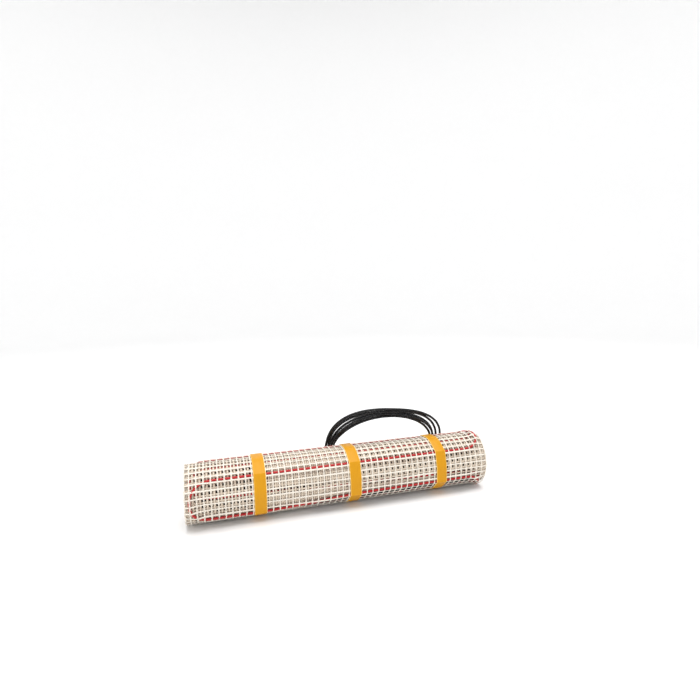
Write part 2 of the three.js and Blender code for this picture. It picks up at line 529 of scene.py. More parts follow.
CABLE_RADIUS = 1.9 * MM
RUN_CENTRE = ROLL_RADIUS + SEAT_GAP + CABLE_RADIUS
SLEEVE_START = -112 * MM
SLEEVE_RADIUS = 4.5 * MM
SLEEVE_CENTRE = ROLL_RADIUS + SEAT_GAP + SLEEVE_RADIUS
CABLE_RISE = 16 * MM
LOW_RUN_CLIMB = 15
CABLE_CLEARANCE = 3 * MM
INNER_CABLE_CLEARANCE = 7.5 * MM
END_DIVE = 4.3 * MM
CLIMB_START = -150 * MM
CLIMB_LENGTH = 200 * MM


def low_run_angle(x):
    """The run low on the roll's front lies aslant: it climbs towards the right end."""
    return RUNS["low"] - LOW_RUN_CLIMB * smooth((x - CLIMB_START) / CLIMB_LENGTH)


def outer_cable_places():
    """Runs and U-turns of the cable on the outer turn, from the splice to the web's free edge."""
    places = [(SLEEVE_START - CABLE_RISE, RUNS["back"])]
    places += turn_places(-1, RUNS["back"], RUNS["under"])
    places += turn_places(1, RUNS["under"], low_run_angle(HALF_WIDTH))
    places += [(x * MM, low_run_angle(x * MM)) for x in range(40, -160, -20)]
    places += turn_places(-1, RUNS["low"], RUNS["front"])
    places += turn_places(1, RUNS["front"], RUNS["top"])
    return places + turn_places(-1, RUNS["top"], RUNS["top"] - 80)


def spread_out(places, spacing):
    """The same route with a place at least every so far, in millimetres around the roll and along it."""
    route = [places[0]]
    for place in places[1:]:
        before = route[-1]
        reach = math.hypot(place[0] - before[0], math.radians(place[1] - before[1]) * RUN_CENTRE)
        steps = max(1, math.ceil(reach / spacing))
        for step in range(1, steps + 1):
            share = step / steps
            along = before[0] + (place[0] - before[0]) * share
            route.append((along, before[1] + (place[1] - before[1]) * share))
    return route


def deepest(degrees, clearance):
    """Largest radius at that angle which stays so far above the floor."""
    down = -np.sin(np.radians(degrees))
    return np.where(down > 0.2, (AXIS_Z - clearance) / np.maximum(down, 0.2), 1.0)


def distance_to_route(x, degrees, route):
    """How far points of the unrolled web lie from the cable's route."""
    line = np.array([(along, math.radians(angle) * RUN_CENTRE) for along, angle in route])
    start, end = line[:-1], line[1:]
    stretch = end - start
    length = np.maximum((stretch ** 2).sum(axis=1), 1e-12)
    nearest = np.full(len(x), 1.0)
    for turn in (-360, 0, 360):
        points = np.stack([x, np.radians(degrees + turn) * RUN_CENTRE], axis=1)
        for first in range(0, len(points), 20000):
            some = points[first:first + 20000, None, :] - start[None]
            share = np.clip((some * stretch).sum(axis=2) / length, 0, 1)
            apart = np.linalg.norm(some - share[..., None] * stretch, axis=2).min(axis=1)
            part = nearest[first:first + 20000]
            np.minimum(part, apart, out=part)
    return nearest


def rise_over_cable(apart, web_radius, clearance):
    """Radius of the web that far from the cable's line: over the cable, then straight off it."""
    leave = math.acos((web_radius - CABLE_RADIUS - clearance) / RUN_CENTRE)
    slant = np.maximum(leave - apart / RUN_CENTRE, 0)
    off = web_radius / np.cos(slant)
    over = RUN_CENTRE + np.sqrt(np.maximum((CABLE_RADIUS + clearance) ** 2 - apart ** 2, 0))
    return np.where(apart < CABLE_RADIUS + clearance, np.minimum(off, np.maximum(over, web_radius)), off)


def rolled(flat, degrees, radius):
    """Places of a flat web's points once it is rolled up: along X, around, and out from the axis."""
    turn = np.radians(degrees)
    out = radius + flat[:, 2]
    return np.stack([flat[:, 0], AXIS_Y + out * np.cos(turn), AXIS_Z + out * np.sin(turn)], axis=1)


OUTER_WEB_RADIUS = ROLL_RADIUS + 0.35 * MM
OUTER_WEB_LENGTH = 291 * MM
FIRST_WEFT = 6 * MM
FIRST_WARP = -HALF_WIDTH + 8.4 * MM
EDGE_WARP = -HALF_WIDTH + 1.3 * MM
WARPS = 50
CABLE_COVER = 0.45 * MM
WEB_CLEARANCE = 0.55 * MM

# The free edge sinks under itself over its last stretch
LAP_START = 262 * MM
LAP_LENGTH = 24 * MM
LAP_DEPTH = 0.95 * MM

# How far the threads wander from straight lines
WARP_WANDER = 0.25 * MM
WEFT_WANDER = 0.3 * MM


def woven_warps(sizes, length, warps, steps_per_cell, sides):
    """Pairs of strands around the roll that cross between the cross threads, flat."""
    steps = round(length / sizes.pitch * steps_per_cell)
    lift = sizes.thickness * 0.56
    pair = []
    for height in (lift, -lift):
        strand = straight_thread(length, steps, sizes.strand_width, sizes.thickness, sides, True, height)
        pair.append(finished_mesh(strand, "strand"))
    return repeated(joined(pair, "pair"), warps, (sizes.pitch, 0, 0))


def web_piece(name, flat_parts, radius_at, start, material, *nodes):
    """Roll flat parts of the web up and show them as one piece."""
    meshes = []
    for mesh, flat, along, across in flat_parts:
        degrees = start - np.degrees(flat[:, 1] / ROLL_RADIUS)
        places = rolled(flat, degrees, radius_at(flat[:, 0], flat[:, 1], degrees))
        mesh.vertices.foreach_set("co", places.ravel())
        lay_map(mesh, along, across)
        meshes.append(mesh)
    made = joined(meshes, name)
    made.shade_smooth()
    return show(name, made, material, *nodes)


# How far the object stands to the side of the middle, as a share of the picture's width
PICTURE_SHIFT = -30 / 700


class HEATMAT_OT_camera(bpy.types.Operator):
    """Stand the camera where the mat is seen from the front left, a little above"""

    bl_idname = "heatmat.camera"
    bl_label = "Camera"

    def execute(self, context):
        sizes = context.scene.heatmat_camera
        camera = placed("camera", bpy.data.cameras.new("camera"))
        forward = Vector((
            math.sin(sizes.heading) * math.cos(sizes.pitch),
            math.cos(sizes.heading) * math.cos(sizes.pitch),
            -math.sin(sizes.pitch),
        ))
        aim = forward.to_track_quat("-Z", "Y").to_matrix().to_4x4()
        camera.matrix_world = Matrix.Translation(sizes.place) @ aim @ Matrix.Rotation(sizes.roll, 4, "Z")
        camera.data.lens = sizes.lens
        camera.data.sensor_width = 36
        camera.data.shift_x = PICTURE_SHIFT
        context.scene.camera = camera
        return {"FINISHED"}


# Route of the supply lead from the splice down to the floor and along it, in millimetres
LEAD_ROUTE = [
    (-59.7, 46.5, 61.6),
    (-52, 46.6, 61.5),
    (-44, 47.3, 59.6),
    (-37.5, 48.8, 54.5),
    (-33.5, 50.6, 47.5),
    (-31.5, 52.8, 39),
    (-30, 55.2, 30),
    (-27.5, 57.6, 21),
    (-22.5, 59.9, 12.8),
    (-15, 61.8, 6.6),
    (-5, 63.3, 3.2),
    (6, 64.3, 2.4),
    (18, 64.8, 2.35),
    (30, 65, 2.35),
    (43, 65, 2.35),
    (56, 65, 2.35),
    (69, 65, 2.35),
]

# Route of its free end, along the floor from the foot of the coil
TAIL_ROUTE = [
    (142.5, 69.9, 2.35),
    (154, 70.1, 2.35),
    (166, 70.1, 2.35),
    (178, 69.8, 2.35),
    (190, 69.2, 2.35),
    (202, 68.3, 2.35),
]

# Centre lines of the coil's outermost and innermost strands, in the coil's own plane
OUTER_STRAND = {
    "half_length": 109.5 * MM,
    "half_height": 74 * MM,
    "squareness": 2.55,
    "turn": -7.1,
    "shift": (0, 0),
    "foot": 1,
}
INNER_STRAND = {
    "half_length": 92.9 * MM,
    "half_height": 60.8 * MM,
    "squareness": 2,
    "turn": -2.5,
    "shift": (-2.1 * MM, -0.8 * MM),
    "foot": 0.975,
}
COIL_CENTRE = Vector((88.2, 42.70, 75.91)) * MM
COIL_LEAN = math.radians(71)
COIL_UP = Vector((0, -math.cos(COIL_LEAN), math.sin(COIL_LEAN)))
COIL_BACK = Vector((0, math.sin(COIL_LEAN), math.cos(COIL_LEAN)))
LAYER_DEPTH = 2.3 * MM

# The front strands lie in pairs, one pair outside and one inside, and looser on the coil's right. The
# strand behind them lies in the middle.
PAIR_SPACING = 5.6 * MM
RIGHT_SPACING = [0, 0.42, 0.72, 1]
RIGHT_REACH = 70
BACK_WEIGHT = 0.66

# Each front strand moves in by one place between these angles, behind the roll
COIL_START = 285
SWITCH_START = 200
SWITCH_SPAN = 50
FRONT_TURNS = 4
LEAVE_SPAN = 85
LEAVE_WEIGHT = -0.12


def oval_point(strand, degrees):
    """Point of a squared oval in the coil's plane, turned about its middle."""
    across = math.cos(math.radians(degrees))
    up = math.sin(math.radians(degrees))
    power = 2 / strand["squareness"]
    foot = strand["foot"] if up < 0 else 1
    point = Vector((
        strand["half_length"] * math.copysign(abs(across) ** power, across),
        strand["half_height"] * math.copysign(abs(up) ** power, up) * foot,
    ))
    point.rotate(Matrix.Rotation(math.radians(strand["turn"]), 2))
    return point + Vector(strand["shift"])


def coil_place(degrees, weight, depth):
    """Point of the coil at an angle, between its outermost and innermost strands, and so deep in it."""
    flat = oval_point(OUTER_STRAND, degrees).lerp(oval_point(INNER_STRAND, degrees), weight)
    return COIL_CENTRE + Vector((flat.x, 0, 0)) + COIL_UP * flat.y + COIL_BACK * depth


def strand_weight(level, degrees):
    """Share of the way inwards of the strand at that level, from 0 outermost to 3 innermost."""
    off = abs((degrees + 180) % 360 - 180)
    share = smooth(1 - off / RIGHT_REACH)
    reach = (oval_point(OUTER_STRAND, degrees) - oval_point(INNER_STRAND, degrees)).length
    pair = min(1 / 3, PAIR_SPACING / reach)
    paired = [0, pair, 1 - pair, 1]
    spacing = [near + (right - near) * share for near, right in zip(paired, RIGHT_SPACING)]
    lower = min(int(level), FRONT_TURNS - 2)
    return spacing[lower] + (spacing[lower + 1] - spacing[lower]) * (level - lower)


def coil_route(steps_per_turn):
    """Places of the coil's turns: four side by side in front, then one behind them."""
    places = []
    step = 360 / steps_per_turn
    last = SWITCH_START + 360 * (FRONT_TURNS + 1)
    degrees = COIL_START
    while degrees <= last:
        moves = [smooth((degrees - SWITCH_START - 360 * switch) / SWITCH_SPAN) for switch in range(1, 5)]
        to_back = smooth((degrees - SWITCH_START - 360 * FRONT_TURNS + 60) / 55)
        depth = LAYER_DEPTH * (2 * to_back - 1)
        weight = strand_weight(sum(moves[:3]), degrees)
        weight += (BACK_WEIGHT - weight) * moves[3]
        places.append(coil_place(degrees, weight, depth))
        degrees += step
    while degrees <= last + LEAVE_SPAN:
        share = smooth((degrees - last) / LEAVE_SPAN)
        weight = BACK_WEIGHT + (LEAVE_WEIGHT - BACK_WEIGHT) * share
        places.append(coil_place(degrees, weight, LAYER_DEPTH))
        degrees += step
    return places


def smooth_line(name, places, radius, resolution, ring):
    """Round line through places, as one open spline."""
    line = bpy.data.curves.new(name, "CURVE")
    line.dimensions = "3D"
    line.bevel_depth = radius
    line.bevel_resolution = ring
    line.resolution_u = resolution
    line.use_fill_caps = True
    spline = line.splines.new("BEZIER")
    spline.bezier_points.add(len(places) - 1)
    for point, place in zip(spline.bezier_points, places):
        point.co = place
        point.handle_left_type = "AUTO"
        point.handle_right_type = "AUTO"
    return line


class HEATMAT_OT_supply_lead(bpy.types.Operator):
    """Lay the supply lead from the splice to its coil, round it and out to its bare cores"""

    bl_idname = "heatmat.supply_lead"
    bl_label = "Supply Lead"

    def execute(self, context):
        sizes = context.scene.heatmat_lead
        cores = self.lay_cores(sizes)
        places = [Vector(place) * MM for place in LEAD_ROUTE]
        places += coil_route(sizes.steps_per_turn)
        places += [Vector(place) * MM for place in TAIL_ROUTE]
        line = smooth_line("supply_lead_line", places, sizes.diameter / 2, 4, 3)
        lead = placed("supply_lead_line", line)
        jacket = sheath_finish("black_lead_jacket", (0.005, 0.005, 0.006), 0.22)
        weaken_gloss(jacket, 0.3)
        line.materials.append(jacket)
        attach(lead, "root")
        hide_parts("supply_lead", "supply_lead_coil", "supply_lead_tail")
        return {"FINISHED"}

    def lay_cores(self, sizes):
        """Insulated conductors with bare copper tips, beside each other past the jacket's end."""
        end = Vector(TAIL_ROUTE[-1]) * MM
        along = (end - Vector(TAIL_ROUTE[-2]) * MM).normalized()
        spread = 1.3 * MM
        brown = sheath_finish("brown_insulation", (0.10, 0.03, 0.012), 0.35)
        copper = metal_finish("copper_wire", (0.72, 0.36, 0.18))
        blue = sheath_finish("blue_insulation", (0.01, 0.07, 0.32), 0.35)
        finishes = {
            "brown_core": (brown, 1, "brown_insulation"),
            "earth_core": (copper, 0, "copper_wire"),
            "blue_core": (blue, -1, "blue_insulation"),
        }
        cores = []
        for node, (material, side, slot) in finishes.items():
            shape = bmesh.new()
            bmesh.ops.create_cone(
                shape,
                cap_ends=True,
                segments=16,
                radius1=sizes.core_diameter / 2,
                radius2=sizes.core_diameter / 2,
                depth=sizes.core_length,
            )
            rims = [edge for edge in shape.edges if abs(edge.verts[0].co.z - edge.verts[1].co.z) < 1e-6]
            round_off(shape, rims, sizes.core_diameter * 0.12)
            aim = along.to_track_quat("Z", "Y").to_matrix().to_4x4()
            middle = end + along * (SEAT_GAP + sizes.core_length / 2)
            middle.y += side * spread
            middle.z += spread if side == 0 else -spread / 2
            bmesh.ops.transform(shape, matrix=Matrix.Translation(middle) @ aim, verts=shape.verts)
            core = show(f"{node}_wire", finished_mesh(shape, node), material, node)
            cores.append(core)
        return cores


class HEATMAT_OT_outer_web(bpy.types.Operator):
    """Weave the outer turn of the web and roll it up over the heating cable"""

    bl_idname = "heatmat.outer_web"
    bl_label = "Outer Web"

    def execute(self, context):
        sizes = context.scene.heatmat_web
        route = spread_out(outer_cable_places(), 4 * MM)
        material = web_finish("glass_fibre_web", sizes.colour)

        def radius_at(x, s, degrees):
            apart = distance_to_route(x, degrees, route)
            radius = rise_over_cable(apart, OUTER_WEB_RADIUS, CABLE_COVER)
            radius -= LAP_DEPTH * smooth((s - LAP_START) / LAP_LENGTH)
            return np.minimum(radius, deepest(degrees, WEB_CLEARANCE))

        parts = []
        for count, first in ((WARPS, FIRST_WARP), (1, EDGE_WARP)):
            mesh = woven_warps(sizes, OUTER_WEB_LENGTH, count, 4, 6)
            flat, along, across = laid_out(mesh, (first, 0, 0), True)
            above = np.sign(flat[:, 2])
            wave = np.cos(math.pi * (flat[:, 1] - FIRST_WEFT) / sizes.pitch)
            wave = np.sign(wave) * np.sqrt(np.abs(wave))
            flat[:, 0] += above * sizes.strand_spread * wave
            flat[:, 0] += WARP_WANDER * np.sin(flat[:, 1] / (31 * MM) + across / (7 * MM))
            parts.append((mesh, flat, along, across))

        reach = 2 * HALF_WIDTH - 1.2 * MM
        cells = round(reach / sizes.pitch)
        weft = straight_thread(reach, cells * 2, sizes.weft_width, sizes.thickness, 6, False)
        rows = int((OUTER_WEB_LENGTH - FIRST_WEFT) / sizes.pitch) + 1
        wefts = repeated(finished_mesh(weft, "weft"), rows, (0, sizes.pitch, 0))
        flat, along, across = laid_out(wefts, (-reach / 2, FIRST_WEFT, 0), False)
        flat[:, 1] += WEFT_WANDER * np.sin(flat[:, 0] / (37 * MM) + np.round(across / sizes.pitch) * 1.7)
        parts.append((wefts, flat, along, across))
        web = web_piece("outer_web", parts, radius_at, FREE_EDGE, material, "mesh_roll")
        return {"FINISHED"}


# The turns of web under the outer one: how deep they lie, and how far their threads stand from the outer
# ones at these places along the roll, along it and around it, in millimetres
SHIFT_PLACES = [-250, -165, -120, -15, 30, 250]

# The inner turns are flat tapes, wider than the outer threads and darker in painted shade, as they lie
# under the outer turn
INSIDE_SHADE = (0.86, 0.79, 0.72)
INSIDE_WIDTH_SHARE = 1.3

# The right end is pressed flat underneath from here on, over the cable's turn
PRESSED_START = HALF_WIDTH - 28 * MM
PRESSED_DEPTH = 4.6 * MM

# How far the inner turns sink away from the outer one
DIP_DEPTH = 4.2 * MM
DIP_REACH = 5 * MM
HOLLOW_DEPTH = 12 * MM
HOLLOW_START = -70 * MM
HOLLOW_END = HALF_WIDTH - 14 * MM
HOLLOW_UNDER_RUN = 3.5
HOLLOW_LOWEST = 262
INNER_TURNS = {
    "second_web": {
        "inset": 0.95,
        "along": [4.6, 5.0, 4.4, 3.6, 2.3, 2.1],
        "around": [1.3, 1.4, 2.4, 2.2, 1.6, 1.5],
    },
    "third_web": {
        "inset": 1.6,
        "along": [5.2, 5.4, -2.6, -2.4, -2.2, -1.8],
        "around": [-1.6, -1.5, 4.6, 4.2, -1.5, -1.4],
    },
    "fourth_web": {
        "inset": 2.3,
        "along": [1.5, 1.2, 6.4, 6.0, 0.4, 0.2],
        "around": [-0.4, 0.2, -2.6, -2.4, 0.3, 0.2],
    },
}


def hollow_share(x, degrees):
    """1 where the turns under the outer one have sunk away from it, at the lower front right, else 0."""
    left = np.clip((x - HOLLOW_START) / (20 * MM), 0, 1)
    right = np.clip((HOLLOW_END - x) / (8 * MM), 0, 1)
    under_run = np.clip((degrees % 360 - low_run_angle(x) - HOLLOW_UNDER_RUN) / 1.5, 0, 1)
    over_floor = np.clip((HOLLOW_LOWEST - degrees % 360) / 6, 0, 1)
    return left * right * under_run * over_floor


class HEATMAT_OT_inner_webs(bpy.types.Operator):
    """Wind the three turns of web that show through the outer one"""

    bl_idname = "heatmat.inner_webs"
    bl_label = "Inner Webs"

    def execute(self, context):
        sizes = context.scene.heatmat_web
        # Painted shade: the inner turns take the web's colour darkened and warmed, for the shade under the
        # outer turn
        inside = [channel * share for channel, share in zip(sizes.colour, INSIDE_SHADE)]
        material = web_finish("glass_fibre_web_inside_shaded", inside)
        for name, turn in INNER_TURNS.items():
            web = self.wind(name, turn, sizes, material)
        return {"FINISHED"}

    def wind(self, name, turn, sizes, material):
        """One full turn of web, of single tapes both ways."""
        radius = OUTER_WEB_RADIUS - turn["inset"] * MM
        length = TURN * ROLL_RADIUS
        shifts = np.array(SHIFT_PLACES) * MM
        width = sizes.weft_width * INSIDE_WIDTH_SHARE
        tape = straight_thread(length, 64, width, sizes.thickness, 4, True, 0.1 * MM)
        warps = repeated(finished_mesh(tape, "tape", False), WARPS, (sizes.pitch, 0, 0))
        flat, along, across = laid_out(warps, (FIRST_WARP, 0, 0), True)
        flat[:, 0] += np.interp(across, shifts, np.array(turn["along"]) * MM)
        flat[:, 0] = np.minimum(flat[:, 0], HALF_WIDTH - 0.3 * MM)
        parts = [(warps, flat, along, across)]
        reach = 2 * HALF_WIDTH - 3 * MM
        rows = round(length / sizes.pitch)
        weft = straight_thread(reach, 60, width, sizes.thickness, 4, False, -0.3 * MM)
        wefts = repeated(finished_mesh(weft, "weft", False), rows, (0, length / rows, 0))
        flat, along, across = laid_out(wefts, (-reach / 2, FIRST_WEFT, 0), False)
        flat[:, 1] += np.interp(along, shifts, np.array(turn["around"]) * MM)
        parts.append((wefts, flat, along, across))
        depth = PRESSED_DEPTH + turn["inset"] * MM
        route = spread_out(inner_cable_places(), 8 * MM)

        def radius_at(x, s, degrees):
            free = np.full(len(x), radius)
            if name != "second_web":
                free -= DIP_DEPTH * smooth(1.4 - distance_to_route(x, degrees, route) / DIP_REACH)
            lowered = np.where(x > PRESSED_START, np.minimum(free, deepest(degrees, depth)), free)
            return lowered - HOLLOW_DEPTH * hollow_share(x, degrees)

        return web_piece(name, parts, radius_at, FREE_EDGE, material, "mesh_roll")


CORE_RADIUS = 41.3 * MM
BORE_RADIUS = 12 * MM
CORE_HALF_LENGTH = 226 * MM
END_PITCH = 3.3 * MM
END_TAPE_WIDTH = 2.2 * MM
END_STEP = 3.2 * MM


def spiral_up(flat, start_radius, pitch, start):
    """Places of a flat strip's points once it is wound into a spiral."""
    turns = (start_radius - BORE_RADIUS) / pitch
    angles = np.linspace(0, turns * TURN, 4000)
    radii = start_radius - pitch * angles / TURN
    run = np.concatenate([[0], np.cumsum(np.diff(angles) * (radii[:-1] + radii[1:]) / 2)])
    turn = np.radians(start) - np.interp(flat[:, 1], run, angles)
    out = np.interp(flat[:, 1], run, radii) + flat[:, 2]
    return np.stack([flat[:, 0], AXIS_Y + out * np.cos(turn), AXIS_Z + out * np.sin(turn)], axis=1)


def spiral_length(start_radius, pitch):
    turns = (start_radius - BORE_RADIUS) / pitch
    return turns * TURN * (start_radius + BORE_RADIUS) / 2


class HEATMAT_OT_wound_core(bpy.types.Operator):
    """Turn the wound middle of the roll, with its bore, and wind the web's edges at both ends"""

    bl_idname = "heatmat.wound_core"
    bl_label = "Wound Core"

    def execute(self, context):
        sizes = context.scene.heatmat_web
        profile = [
            (-CORE_HALF_LENGTH, CORE_RADIUS),
            (CORE_HALF_LENGTH, CORE_RADIUS),
            (CORE_HALF_LENGTH, BORE_RADIUS),
            (-CORE_HALF_LENGTH, BORE_RADIUS),
        ]
        corners = [(x, AXIS_Y + radius, AXIS_Z) for x, radius in profile]
        shape = turned(corners, True, (0, AXIS_Y, AXIS_Z), (1, 0, 0), 72)
        # The core's finish is painted shade: the web's own colour darkened to near black
        core = show(
            "wound_core",
            finished_mesh(shape, "wound_core", False),
            core_painted_shade_finish("wound_web_painted_shade", sizes.colour),
            "mesh_roll",
        )
        self.wind_ends(sizes)
        return {"FINISHED"}

    def wind_ends(self, sizes):
        """The web's edges, which stand past the core as a spiral, with the cable's turns between them."""
        web = web_finish("glass_fibre_web_ends", sizes.colour)
        length = spiral_length(CORE_RADIUS, END_PITCH) - 2 * MM
        stub_start = CORE_HALF_LENGTH - 1 * MM
        meshes = []
        for side in (-1, 1):
            tape = straight_thread(length, int(length / END_STEP), END_TAPE_WIDTH, sizes.thickness, 4, True)
            warps = repeated(finished_mesh(tape, "tape", False), 2, (sizes.pitch, 0, 0))
            flat = places_of(warps)
            flat[:, 0] += HALF_WIDTH - 1.6 * MM - sizes.pitch
            flat[:, 0] *= side
            reach = HALF_WIDTH - 0.8 * MM - stub_start
            stub = straight_thread(reach, 1, sizes.weft_width, sizes.thickness, 6, False, -0.4 * MM)
            rows = int(length / sizes.pitch)
            stubs = repeated(finished_mesh(stub, "stub"), rows, (0, sizes.pitch, 0))
            stub_flat = places_of(stubs) + np.array([stub_start, 4 * MM, 0])
            stub_flat[:, 0] *= side
            for mesh, points, around in ((warps, flat, True), (stubs, stub_flat, False)):
                wound = spiral_up(points, CORE_RADIUS - 0.4 * MM, END_PITCH, FREE_EDGE)
                mesh.vertices.foreach_set("co", wound.ravel())
                along, across = (points[:, 1], points[:, 0]) if around else (points[:, 0], points[:, 1])
                lay_map(mesh, along, across)
                if side < 0:
                    mesh.flip_normals()
                meshes.append(mesh)
        ends = show("wound_ends", joined(meshes, "wound_ends"), web, "mesh_roll")


# The cable's runs under the second turn: one lies aslant, as places along the roll and angles around it
INNER_CABLE_RADIUS = 42.1 * MM
INNER_RUNS = {"back": 330, "under": 258, "top": 109, "last": 38}
SLANTED_RUN = [(234, 193), (145, 189), (86, 185.2), (-16, 181.3), (-80, 178.6), (-209, 172.6)]


def inner_cable_places():
    """Runs and U-turns of the cable under the second turn of web."""
    slanted = [(x * MM, degrees) for x, degrees in SLANTED_RUN]
    places = [(HALF_WIDTH - 40 * MM, INNER_RUNS["back"])]
    places += turn_places(-1, INNER_RUNS["back"], INNER_RUNS["under"])
    places += turn_places(1, INNER_RUNS["under"], slanted[0][1])[:-1]
    places += slanted[1:-1]
    places += turn_places(-1, slanted[-1][1], INNER_RUNS["top"])
    places += turn_places(1, INNER_RUNS["top"], INNER_RUNS["last"])
    return places + [(-HALF_WIDTH + 30 * MM, INNER_RUNS["last"])]


def mesh_of_line(line):
    """A curve's round surface as a mesh."""
    mesh = applied(placed("line", line))
    mesh.shade_smooth()
    return mesh


class HEATMAT_OT_heating_cable(bpy.types.Operator):
    """Run the heating cable to and fro under the outer web"""

    bl_idname = "heatmat.heating_cable"
    bl_label = "Heating Cable"

    def execute(self, context):
        sizes = context.scene.heatmat_cable
        places = spread_out(outer_cable_places(), 6 * MM)
        stations = [
            on_roll(SLEEVE_START + 3 * MM, RUNS["back"], SLEEVE_CENTRE),
            on_roll(SLEEVE_START - SEAT_GAP, RUNS["back"], SLEEVE_CENTRE),
            on_roll(SLEEVE_START - CABLE_RISE / 2, RUNS["back"], (SLEEVE_CENTRE + RUN_CENTRE) / 2),
        ]
        for x, degrees in places:
            radius = min(RUN_CENTRE, float(deepest(degrees, CABLE_CLEARANCE)))
            dive = smooth((RUNS["top"] - 30 - degrees) / 40) if degrees < RUNS["top"] - 30 else 0
            stations.append(on_roll(x, degrees, radius - dive * END_DIVE))
        mesh = mesh_of_line(smooth_line("heating_cable_line", stations, sizes.diameter / 2, 2, 2))
        material = sheath_finish("red_cable_sheath", sizes.colour, 0.45)
        cable = show("heating_cable_line", mesh, material, "heating_cable")
        self.lay_inner_cable(sizes, material)
        return {"FINISHED"}

    def lay_inner_cable(self, sizes, material):
        """Runs of the cable under the second turn of web."""
        stations = []
        for x, degrees in spread_out(inner_cable_places(), 8 * MM):
            radius = INNER_CABLE_RADIUS
            if x > PRESSED_START:
                radius = min(radius, float(deepest(degrees, INNER_CABLE_CLEARANCE)))
            stations.append(on_roll(x, degrees, radius))
        line = smooth_line("inner_cable_line", stations, sizes.diameter / 2, 2, 1)
        mesh = mesh_of_line(line)
        cable = show("inner_cable_line", mesh, material, "heating_cable")


STRAP_CENTRES = {"left": -140.5 * MM, "middle": 9.8 * MM, "right": 161.9 * MM}
STRAP_STEP = 3
STRAP_EDGE = 0.25 * MM


def wrap_outline(angles, offset):
    """Outline of a taut wrap around the roll and those runs, at a distance outside both."""
    half_arc = math.degrees(math.acos((ROLL_RADIUS - CABLE_RADIUS) / RUN_CENTRE))
    runs = sorted(angles)
    points = []
    for index, angle in enumerate(runs):
        before = runs[index - 1] - (360 if index == 0 else 0)
        after = runs[(index + 1) % len(runs)] + (360 if index == len(runs) - 1 else 0)
        start = angle - min(half_arc, (angle - before) / 2)
        end = angle + min(half_arc, (after - angle) / 2)
        centre = unit_round(angle) * RUN_CENTRE
        steps = 8
        for step in range(steps + 1):
            normal = start + (end - start) * step / steps
            points.append(centre + unit_round(normal) * (CABLE_RADIUS + offset))
        span = after - half_arc - end
        if span > STRAP_STEP:
            steps = round(span / STRAP_STEP)
            for step in range(steps + 1):
                points.append(unit_round(end + span * step / steps) * (ROLL_RADIUS + offset))
    return points


class HEATMAT_OT_straps(bpy.types.Operator):
    """Pull three flat straps tight around the roll"""

    bl_idname = "heatmat.straps"
    bl_label = "Straps"

    def execute(self, context):
        sizes = context.scene.heatmat_strap
        material = strap_finish("yellow_strap", sizes.colour, sizes.width)
        weaken_gloss(material, 0.25)
        for key, centre in STRAP_CENTRES.items():
            runs = [RUNS["under"], low_run_angle(centre), RUNS["front"], RUNS["top"]]
            if key == "left":
                runs.append(RUNS["back"] - 360)
            outline = wrap_outline(runs, SEAT_GAP + sizes.thickness)
            shape = bmesh.new()
            start = centre - sizes.width / 2
            loop = [shape.verts.new((start, AXIS_Y + y, AXIS_Z + z)) for y, z in outline]
            bmesh.ops.remove_doubles(shape, verts=shape.verts, dist=1e-6)
            loop = [vert for vert in loop if vert.is_valid]
            edges = [shape.edges.new(pair) for pair in zip(loop, loop[1:] + loop[:1])]
            step = Vector((sizes.width, 0, 0))
            bmesh.ops.spin(
                shape,
                geom=loop + edges,
                cent=(0, 0, 0),
                axis=(1, 0, 0),
                dvec=step,
                angle=0,
                steps=1,
            )
            bmesh.ops.recalc_face_normals(shape, faces=shape.faces)
            bmesh.ops.solidify(shape, geom=shape.faces[:], thickness=sizes.thickness)
            corners = [edge for edge in shape.edges if abs(edge.verts[0].co.x - edge.verts[1].co.x) < 1e-7]
            round_off(shape, corners, STRAP_EDGE)
            mesh = finished_mesh(shape, f"strap_{key}_band")
            flat = places_of(mesh)
            around = np.arctan2(flat[:, 2] - AXIS_Z, flat[:, 1] - AXIS_Y) * ROLL_RADIUS
            lay_map(mesh, flat[:, 0] - centre, around)
            strap = show(f"strap_{key}_band", mesh, material, f"strap_{key}")
        return {"FINISHED"}


class HEATMAT_OT_splice(bpy.types.Operator):
    """Shrink a sleeve over the splice between the heating cable and the supply lead"""

    bl_idname = "heatmat.splice"
    bl_label = "Splice Sleeve"

    def execute(self, context):
        middle = on_roll(0, RUNS["back"], SLEEVE_CENTRE)
        profile = [
            (0, 2.1),
            (0, 2.6),
            (2.5, 2.75),
            (6, 3.7),
            (9, 4.3),
            (13, 4.5),
            (24, 4.4),
            (30, 4.45),
            (40, 4.5),
            (44, 4.2),
            (47.5, 3.3),
            (50, 2.8),
            (52, 2.65),
            (52, 2.2),
        ]
        rings = [(SLEEVE_START + x * MM, middle.y + radius * MM, middle.z) for x, radius in profile]
        shape = turned(rings, False, middle, (1, 0, 0), 32)
        bmesh.ops.holes_fill(shape, edges=shape.edges[:], sides=0)
        material = sheath_finish("black_shrink_sleeve", (0.018, 0.018, 0.02), 0.45)
        sleeve = show("splice_sleeve_skin", finished_mesh(shape, "splice"), material, "splice_sleeve")
        return {"FINISHED"}


WALL_HEIGHT = 4
SWEEP_STEPS = 12

# Where each light stands, where it points and how wide it is
LIGHTS = {
    "key": ((0.1, -0.1, 1.5), (0.05, 0.02, 0.0), 1.6),
    "fill": ((-1.1, -1.3, 0.7), (0.0, 0.0, 0.06), 1.0),
    "ceiling": ((0, 0, 3.9), (0, 0.001, 0), 4.0),
}


